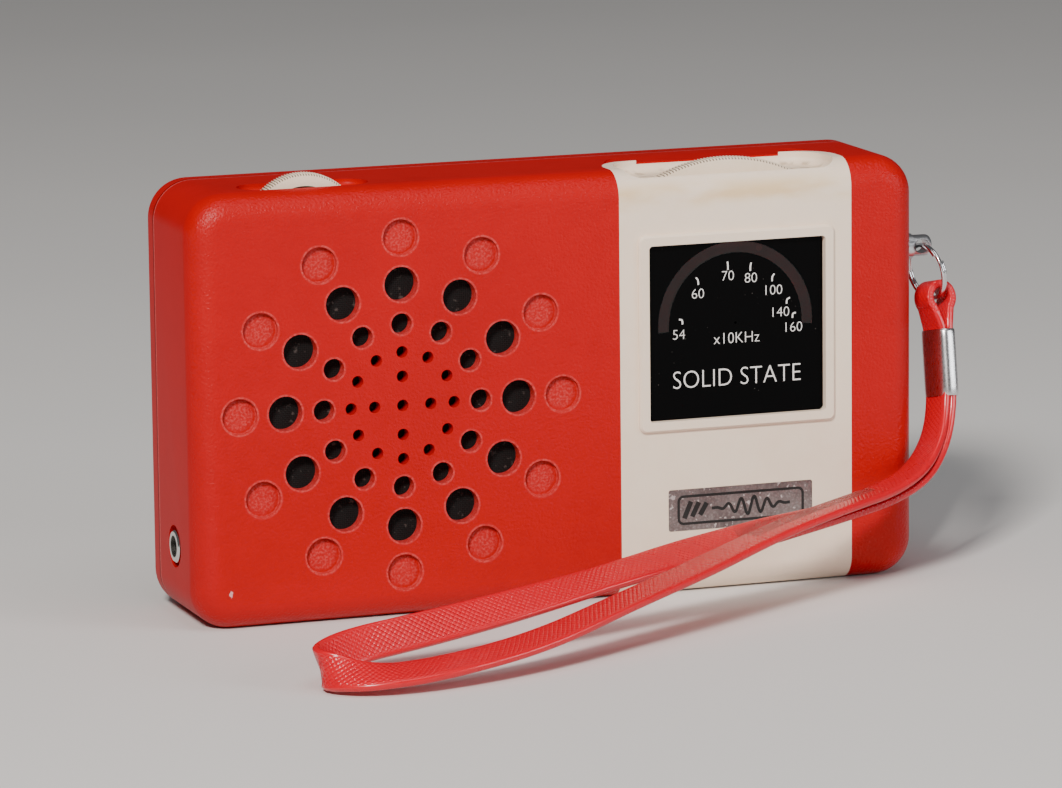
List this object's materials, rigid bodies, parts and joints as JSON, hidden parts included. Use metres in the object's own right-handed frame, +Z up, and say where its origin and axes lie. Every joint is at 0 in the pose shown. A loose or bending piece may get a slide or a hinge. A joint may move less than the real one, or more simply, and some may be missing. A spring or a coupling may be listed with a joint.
{
  "type": "transistor pocket radio",
  "caption": "Flat pocket radio case with a round punched speaker grille, a framed tuning dial, edge thumb wheels and a wrist strap on a split ring.",
  "frame": {"origin": "middle of the case's flat base, at mid-depth", "axes": "+Z up, +X to the right seen from the front, +Y to the back"},
  "size_m": [0.1361, 0.0828, 0.0736],
  "materials": {
    "red_case": "moulded red plastic, fine pebble grain on the front",
    "cream_trim": "aged cream plastic",
    "cream_wheel": "knurled cream plastic",
    "dial_glass": "polished dark plastic with printed scale",
    "badge_foil": "mottled foil with a printed black outline",
    "cloth": "woven black speaker cloth",
    "speaker_steel": "plated pressed steel",
    "cone_paper": "black pulp",
    "magnet": "ferrite",
    "copper": "enamelled copper",
    "screw_steel": "zinc plated",
    "dial_red": "smooth",
    "pointer_white": "white paint",
    "board": "phenolic laminate",
    "black_plastic": "moulded",
    "tuner_plastic": "translucent moulding",
    "can_metal": "drawn can",
    "ferrite": "pressed ferrite",
    "capacitor_blue": "sleeved",
    "ceramic_disc": "dipped",
    "resistor_tan": "lacquered",
    "core_steel": "laminated",
    "winding_tape": "yellow tape",
    "battery_jacket": "printed steel jacket",
    "battery_stud": "plated",
    "lead_vinyl": "vinyl insulation",
    "jack_metal": "turned and plated",
    "stud_metal": "turned",
    "ring_wire": "plated spring wire",
    "ferrule_metal": "crimped, bright",
    "strap_vinyl": "embossed red vinyl"
  },
  "bodies": {
    "case": {"front_shell": "red_case", "trim_band": "cream_trim", "dial_window": "dial_glass", "badge": "badge_foil", "speaker_cloth": "cloth", "speaker_frame": "speaker_steel", "speaker_cone": "cone_paper", "speaker_dust_cap": "cone_paper", "speaker_coil": "copper", "speaker_magnet": "magnet", "speaker_screws": "screw_steel", "circuit_board": "board", "board_screws": "screw_steel", "tuning_capacitor": "tuner_plastic", "trimmer_screws": "screw_steel", "volume_control": "black_plastic", "screened_coils": "can_metal", "coil_slugs": "ferrite", "transistors": "black_plastic", "electrolytic_capacitors": "capacitor_blue", "ceramic_capacitors": "ceramic_disc", "resistors": "resistor_tan", "transformer_cores": "core_steel", "transformer_windings": "winding_tape", "ferrite_rod": "ferrite", "aerial_coil": "copper", "aerial_holders": "black_plastic", "battery": "battery_jacket", "battery_terminals": "battery_stud", "battery_snap": "black_plastic", "battery_leads": "lead_vinyl", "speaker_leads": "lead_vinyl", "jack_body": "black_plastic", "jack_bush": "jack_metal", "strap_stud": "stud_metal"},
    "tuning": {"tuning_wheel": "cream_wheel", "tuning_shaft": "screw_steel", "dial_disc": "dial_red", "pointer_dot": "pointer_white", "tuning_screw": "screw_steel"},
    "volume": {"volume_wheel": "cream_wheel", "volume_shaft": "screw_steel", "volume_screw": "screw_steel"},
    "rear": {"back_cover": "red_case"},
    "ring": {"split_ring": "ring_wire"},
    "strap": {"strap_eye": "strap_vinyl", "strap_ferrule": "ferrule_metal", "wrist_strap": "strap_vinyl"}
  },
  "joints": [
    {"name": "tuning_turn", "type": "hinge", "parent": "case", "child": "tuning", "pos_m": [0.0307, -0.008, 0.0452], "axis": [0, 1, 0], "range_deg": [-108, 61]},
    {"name": "volume_turn", "type": "hinge", "parent": "case", "child": "volume", "pos_m": [-0.04205, -0.006, 0.0636], "axis": [0, 1, 0], "range_deg": [0, 270]},
    {"name": "cover_pull", "type": "slide", "parent": "case", "child": "rear", "axis": [0, 1, 0], "range_m": [0, 0.03]},
    {"name": "ring_turn", "type": "hinge", "parent": "case", "child": "ring", "pos_m": [0.0683, -0.00547, 0.05037], "axis": [0.9572, 0.2467, 0.1512], "continuous": true},
    {"name": "strap_swing", "type": "hinge", "parent": "case", "child": "strap", "pos_m": [0.0683, -0.00547, 0.05037], "axis": [-0.9572, -0.2467, -0.1512], "range_deg": [0, 75]}
  ]
}
